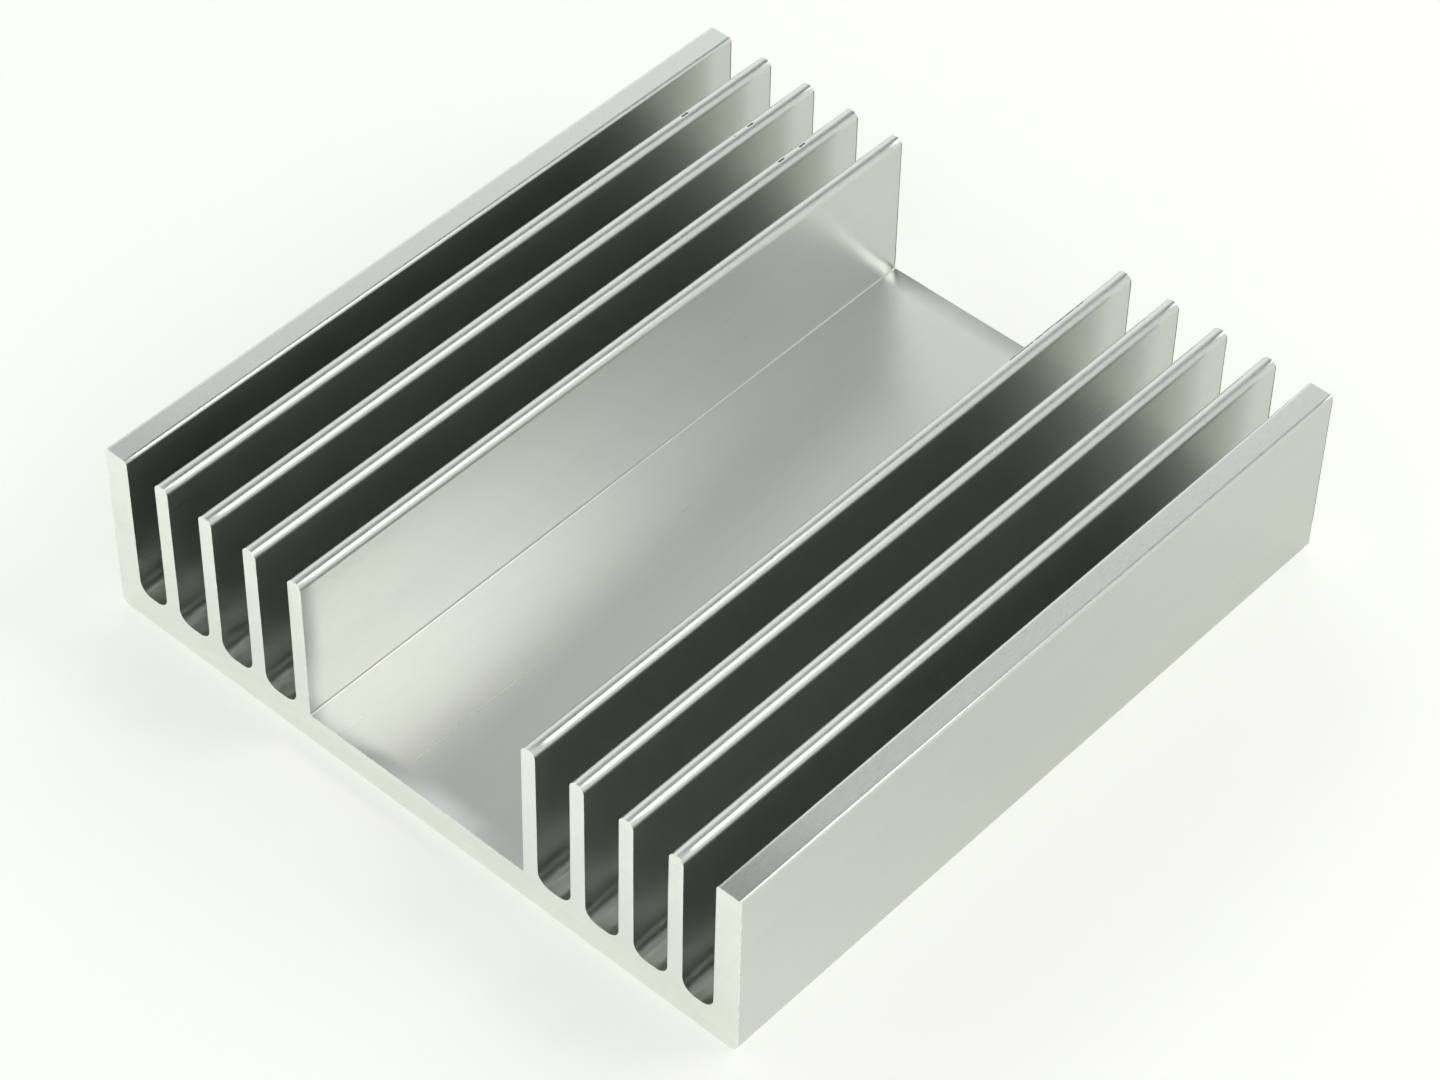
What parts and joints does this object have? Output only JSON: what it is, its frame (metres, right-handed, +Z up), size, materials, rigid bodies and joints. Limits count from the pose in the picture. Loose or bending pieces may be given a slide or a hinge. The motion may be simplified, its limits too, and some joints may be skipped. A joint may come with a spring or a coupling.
{
  "type": "extruded heat sink",
  "caption": "Extruded aluminium heat sink: thin fins on both sides of a wide flat channel that seats a power device.",
  "frame": {"origin": "middle of the flat underside, at the level that the bar rests on", "axes": "+X across the fins, +Y along the direction of extrusion, +Z up from the base to the fin tips"},
  "size_m": [0.095, 0.1, 0.025],
  "materials": {
    "mill_aluminium": "satin mill finish with fine die lines along the bar, sawn ends, not anodised"
  },
  "bodies": {
    "root": {"heat_sink": "mill_aluminium"}
  },
  "joints": []
}
